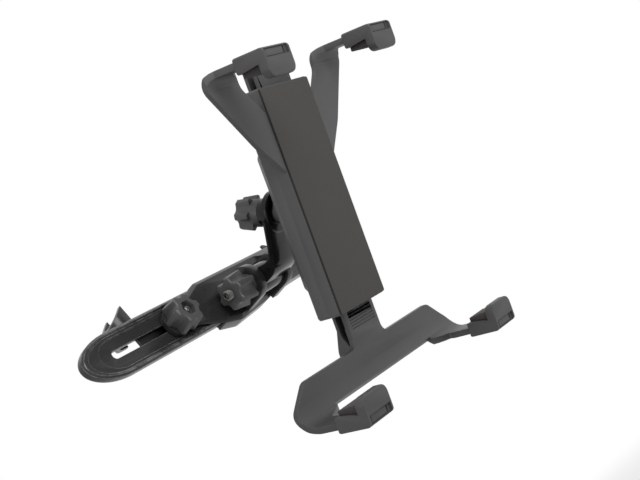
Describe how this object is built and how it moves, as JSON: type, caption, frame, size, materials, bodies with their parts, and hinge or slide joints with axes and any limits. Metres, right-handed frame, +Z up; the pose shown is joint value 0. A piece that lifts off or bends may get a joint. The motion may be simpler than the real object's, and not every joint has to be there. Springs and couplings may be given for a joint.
{
  "type": "headrest tablet holder",
  "caption": "Holder for a tablet behind a car seat: bar that hooks between headrest posts, tilting arm with ball head, and sprung cradle with sliding corner claws.",
  "frame": {"origin": "on the axis of the fixed headrest post, half way up the hook that holds it", "axes": "+X along the slotted bar from its nose to the fixed hook, +Z up the posts, -Y towards the passenger who looks at the tablet"},
  "size_m": [0.2725, 0.2013, 0.2234],
  "materials": {
    "base_plastic": "satin moulded",
    "arm_plastic": "polished",
    "knob_plastic": "satin moulded",
    "cradle_plastic": "fine texture",
    "clip_plastic": "satin moulded",
    "grip_rubber": "matt",
    "pad_foam": "fine grained",
    "steel": "plated",
    "ball_metal": "turned, blackened",
    "brass": "turned"
  },
  "bodies": {
    "base": {"post_base": "base_plastic", "tilt_bolt": "steel", "tilt_washer": "steel", "clamp_bolt": "steel", "clamp_plate": "ball_metal"},
    "slide": {"slide_bar": "base_plastic"},
    "clamp_star": {"clamp_knob": "knob_plastic", "clamp_nut": "steel"},
    "tilt_star": {"tilt_knob": "knob_plastic", "tilt_insert": "brass"},
    "arm": {"swing_arm": "arm_plastic"},
    "swivel_star": {"swivel_knob": "knob_plastic", "swivel_screw": "steel"},
    "ball": {"ball_stud": "ball_metal"},
    "cradle": {"rear_shell": "cradle_plastic", "front_shell": "cradle_plastic", "shell_screws": "steel", "foam_pad": "pad_foam", "detent_spring": "steel"},
    "lower": {"lower_bracket": "cradle_plastic"},
    "upper_left_claw": {"upper_left_clip": "clip_plastic", "upper_left_grip": "grip_rubber"},
    "upper_right_claw": {"upper_right_clip": "clip_plastic", "upper_right_grip": "grip_rubber"},
    "lower_left_claw": {"lower_left_clip": "clip_plastic", "lower_left_grip": "grip_rubber"},
    "lower_right_claw": {"lower_right_clip": "clip_plastic", "lower_right_grip": "grip_rubber"}
  },
  "joints": [
    {"name": "bar_slide", "type": "slide", "parent": "base", "child": "slide", "axis": [1, 0, 0], "range_m": [-0.03, 0.02]},
    {"name": "clamp_knob_turn", "type": "hinge", "parent": "base", "child": "clamp_star", "pos_m": [-0.162, -0.0127, -0.01558], "axis": [0, -1, 0], "continuous": true},
    {"name": "tilt_knob_turn", "type": "hinge", "parent": "base", "child": "tilt_star", "pos_m": [-0.084, -0.0307, -0.02158], "axis": [-1, 0, 0], "continuous": true},
    {"name": "arm_tilt", "type": "hinge", "parent": "base", "child": "arm", "pos_m": [-0.084, -0.0307, -0.02158], "axis": [1, 0, 0], "range_deg": [-45, 15]},
    {"name": "swivel_knob_turn", "type": "hinge", "parent": "arm", "child": "swivel_star", "pos_m": [-0.084, -0.07457, 0.00002], "axis": [0, 0.7771, 0.6293], "continuous": true},
    {"name": "cradle_nod", "type": "hinge", "parent": "arm", "child": "ball", "pos_m": [-0.084, -0.07457, 0.00002], "axis": [1, 0, 0], "range_deg": [-2, 28]},
    {"name": "cradle_turn", "type": "hinge", "parent": "ball", "child": "cradle", "pos_m": [-0.084, -0.07457, 0.00002], "axis": [0, -0.8988, -0.4384], "continuous": true},
    {"name": "lower_slide", "type": "slide", "parent": "cradle", "child": "lower", "axis": [-0.0209, 0.4383, -0.8986], "range_m": [0, 0.065]},
    {"name": "upper_left_claw_slide", "type": "slide", "parent": "cradle", "child": "upper_left_claw", "axis": [0, 0.8988, 0.4384], "range_m": [0, 0.016]},
    {"name": "upper_right_claw_slide", "type": "slide", "parent": "cradle", "child": "upper_right_claw", "axis": [0, 0.8988, 0.4384], "range_m": [0, 0.016]},
    {"name": "lower_left_claw_slide", "type": "slide", "parent": "lower", "child": "lower_left_claw", "axis": [0, 0.8988, 0.4384], "range_m": [0, 0.016]},
    {"name": "lower_right_claw_slide", "type": "slide", "parent": "lower", "child": "lower_right_claw", "axis": [0, 0.8988, 0.4384], "range_m": [0, 0.016]}
  ]
}
